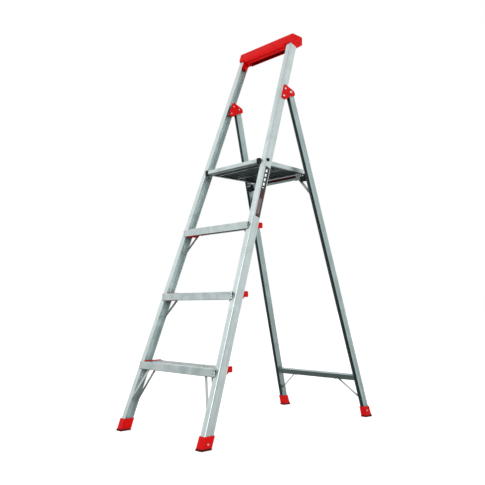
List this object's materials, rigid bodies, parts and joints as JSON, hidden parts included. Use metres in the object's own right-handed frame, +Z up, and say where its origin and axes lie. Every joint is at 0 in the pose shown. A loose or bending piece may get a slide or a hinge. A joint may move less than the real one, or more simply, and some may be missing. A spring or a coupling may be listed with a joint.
{
  "type": "platform step ladder",
  "caption": "Folding aluminium step ladder with ribbed treads, a fold-up standing platform, red moulded top cap, hinge plates and boots.",
  "frame": {"origin": "on the floor, at the middle of the footprint of the opened ladder", "axes": "+Z up, -Y the side that is climbed, +X to the right of someone looking along +Y at the treads"},
  "size_m": [0.5832, 1.106, 1.871],
  "materials": {
    "rail_aluminium": "mill finish with fine extrusion lines along the rail",
    "tread_aluminium": "ribbed extrusion, satin",
    "strap_aluminium": "flat bar, slightly dull",
    "rivet_aluminium": "bright",
    "pin_steel": "plated",
    "red_plastic": "moulded, semi gloss",
    "black_plastic": "moulded, fine grain",
    "white_nylon": "plain",
    "sole_rubber": "matt, worn",
    "label_film": "printed film"
  },
  "bodies": {
    "front_frame": {"frame_rivets": "rivet_aluminium", "front_boot_left": "red_plastic", "front_boot_right": "red_plastic", "front_rail_left": "rail_aluminium", "front_rail_right": "rail_aluminium", "front_sole_left": "sole_rubber", "front_sole_right": "sole_rubber", "hinge_pins": "pin_steel", "hinge_plate_inner_left": "red_plastic", "hinge_plate_inner_right": "red_plastic", "hinge_plate_outer_left": "red_plastic", "hinge_plate_outer_right": "red_plastic", "hinge_rivets": "rivet_aluminium", "platform_bolts": "black_plastic", "platform_bushes": "white_nylon", "rail_label": "label_film", "top_cap": "red_plastic", "tread_1": "tread_aluminium", "tread_1_brace_front_left": "strap_aluminium", "tread_1_brace_front_right": "strap_aluminium", "tread_1_brace_rear_left": "strap_aluminium", "tread_1_brace_rear_right": "strap_aluminium", "tread_2": "tread_aluminium", "tread_2_brace_left": "strap_aluminium", "tread_2_brace_right": "strap_aluminium", "tread_3": "tread_aluminium", "tread_3_brace_left": "strap_aluminium", "tread_3_brace_right": "strap_aluminium", "tread_cap_1_left": "red_plastic", "tread_cap_1_right": "red_plastic", "tread_cap_2_left": "red_plastic", "tread_cap_2_right": "red_plastic", "tread_cap_3_left": "red_plastic", "tread_cap_3_right": "red_plastic"},
    "rear_frame": {"lower_brace_left": "strap_aluminium", "lower_brace_right": "strap_aluminium", "lower_cross_bar": "rail_aluminium", "rear_boot_left": "red_plastic", "rear_boot_right": "red_plastic", "rear_rail_left": "rail_aluminium", "rear_rail_right": "rail_aluminium", "rear_rivets": "rivet_aluminium", "rear_sole_left": "sole_rubber", "rear_sole_right": "sole_rubber", "rest_block_left": "black_plastic", "rest_block_right": "black_plastic", "upper_brace_left": "strap_aluminium", "upper_brace_right": "strap_aluminium", "upper_cross_bar": "rail_aluminium", "hinge_bushes": "white_nylon", "bar_label": "label_film"},
    "platform": {"platform_deck": "tread_aluminium", "platform_nose": "tread_aluminium", "platform_nose_cap_left": "black_plastic", "platform_nose_cap_right": "black_plastic", "platform_rear_edge": "tread_aluminium", "platform_side_left": "tread_aluminium", "platform_side_right": "tread_aluminium", "deck_rivets": "rivet_aluminium"}
  },
  "joints": [
    {"name": "rear_fold", "type": "hinge", "parent": "front_frame", "child": "rear_frame", "pos_m": [0, 0.07274, 1.55802], "axis": [-1, 0, 0], "range_deg": [0, 35]},
    {"name": "platform_flip", "type": "hinge", "parent": "front_frame", "child": "platform", "pos_m": [0, -0.10882, 1.1965], "axis": [1, 0, 0], "range_deg": [0, 70]}
  ],
  "couplings": [
    {"joint": "platform_flip", "follows": "rear_fold", "ratio": 2}
  ]
}
